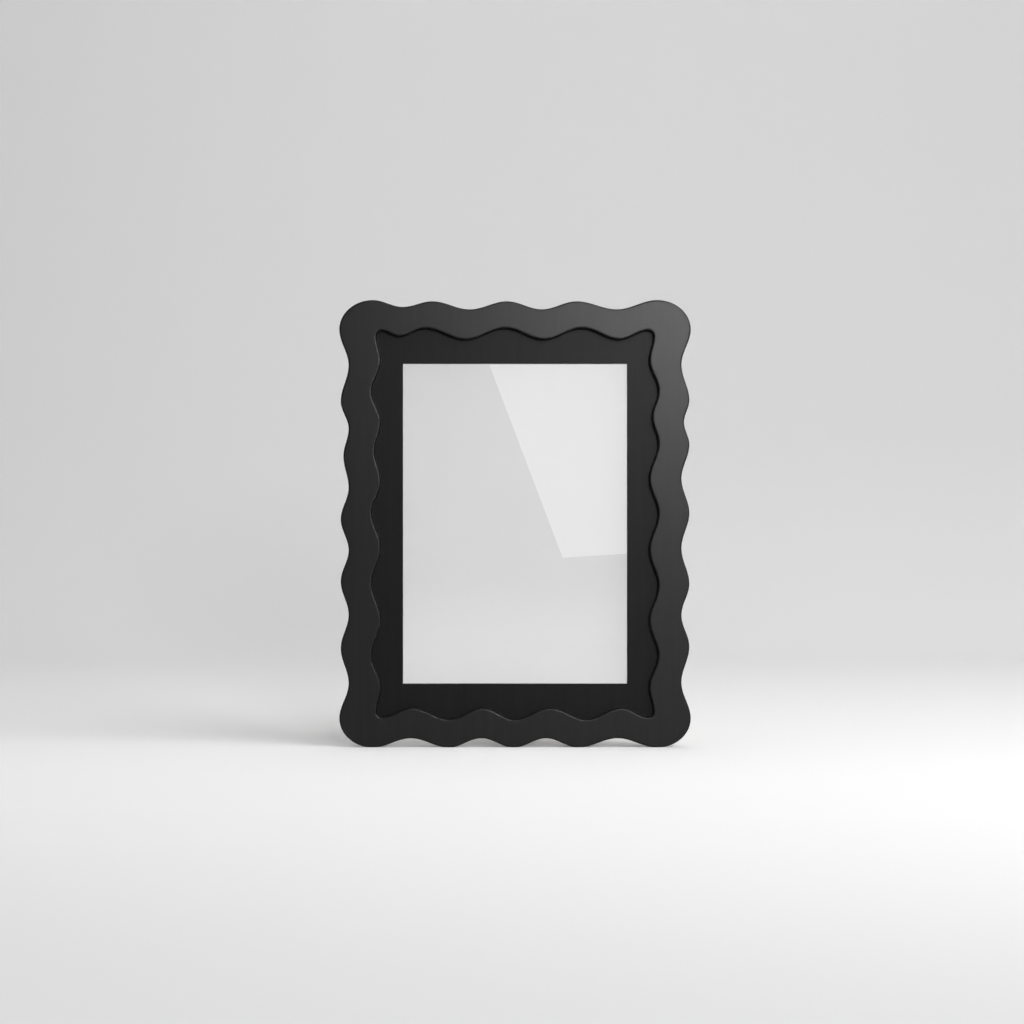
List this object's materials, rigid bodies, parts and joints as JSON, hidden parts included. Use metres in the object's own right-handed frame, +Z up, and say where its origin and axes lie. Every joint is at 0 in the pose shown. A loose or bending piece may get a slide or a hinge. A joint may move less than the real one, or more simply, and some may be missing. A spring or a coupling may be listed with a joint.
{
  "type": "wavy picture frame",
  "caption": "Upright wooden picture frame with a wavy ribbon front, glazed rebate, turn-button back, sawtooth hangers and a hinged swing-out strut.",
  "frame": {"origin": "centre of the bounding box in plan, at the level of the table that the frame stands on", "axes": "+Z up, -Y out of the front face towards the viewer, +X to the viewer's right"},
  "size_m": [0.1858, 0.0852, 0.2363],
  "materials": {
    "black_lacquer": "satin black lacquer",
    "black_panel": "matt black lacquer",
    "black_stain": "black stain",
    "hardboard": "bare hardboard",
    "pale_sheet": "matt, blank",
    "clear_glass": "clear, polished",
    "brass": "plain rolled brass",
    "zinc_steel": "zinc plated"
  },
  "bodies": {
    "frame": {"back_board": "hardboard", "blank_insert": "pale_sheet", "button_screw_left_lower": "zinc_steel", "button_screw_left_upper": "zinc_steel", "button_screw_right_lower": "zinc_steel", "button_screw_right_upper": "zinc_steel", "glass_pane": "clear_glass", "hanger_nail_side_1": "zinc_steel", "hanger_nail_side_2": "zinc_steel", "hanger_nail_top_1": "zinc_steel", "hanger_nail_top_2": "zinc_steel", "hinge_lower_board_rivet_1": "brass", "hinge_lower_board_rivet_2": "brass", "hinge_lower_fixed_leaf": "brass", "hinge_lower_pin": "brass", "hinge_upper_board_rivet_1": "brass", "hinge_upper_board_rivet_2": "brass", "hinge_upper_fixed_leaf": "brass", "hinge_upper_pin": "brass", "rail_bottom": "black_stain", "rail_left": "black_stain", "rail_right": "black_stain", "rail_screw_bottom_1": "zinc_steel", "rail_screw_bottom_2": "zinc_steel", "rail_screw_left_1": "zinc_steel", "rail_screw_left_2": "zinc_steel", "rail_screw_right_1": "zinc_steel", "rail_screw_right_2": "zinc_steel", "rail_screw_top_1": "zinc_steel", "rail_screw_top_2": "zinc_steel", "rail_top": "black_stain", "sawtooth_hanger_side": "zinc_steel", "sawtooth_hanger_top": "zinc_steel", "sight_panel": "black_panel", "wave_front": "black_lacquer"},
    "strut": {"hinge_lower_moving_leaf": "brass", "hinge_lower_strut_rivet_1": "brass", "hinge_lower_strut_rivet_2": "brass", "hinge_upper_moving_leaf": "brass", "hinge_upper_strut_rivet_1": "brass", "hinge_upper_strut_rivet_2": "brass", "strut_board": "black_lacquer"},
    "turn_button_left_lower": {"turn_button_left_lower": "zinc_steel"},
    "turn_button_left_upper": {"turn_button_left_upper": "zinc_steel"},
    "turn_button_right_lower": {"turn_button_right_lower": "zinc_steel"},
    "turn_button_right_upper": {"turn_button_right_upper": "zinc_steel"}
  },
  "joints": [
    {"name": "strut_swing", "type": "hinge", "parent": "frame", "child": "strut", "pos_m": [0.0048, -0.0254, 0.085], "axis": [0, 0, -1], "range_deg": [0, 90]},
    {"name": "turn_button_left_lower_turn", "type": "hinge", "parent": "frame", "child": "turn_button_left_lower", "pos_m": [-0.07352, -0.027, 0.06205], "axis": [0, 1, 0], "continuous": true},
    {"name": "turn_button_left_upper_turn", "type": "hinge", "parent": "frame", "child": "turn_button_left_upper", "pos_m": [-0.07352, -0.027, 0.17405], "axis": [0, 1, 0], "continuous": true},
    {"name": "turn_button_right_lower_turn", "type": "hinge", "parent": "frame", "child": "turn_button_right_lower", "pos_m": [0.07352, -0.027, 0.06205], "axis": [0, 1, 0], "continuous": true},
    {"name": "turn_button_right_upper_turn", "type": "hinge", "parent": "frame", "child": "turn_button_right_upper", "pos_m": [0.07352, -0.027, 0.17405], "axis": [0, 1, 0], "continuous": true}
  ]
}
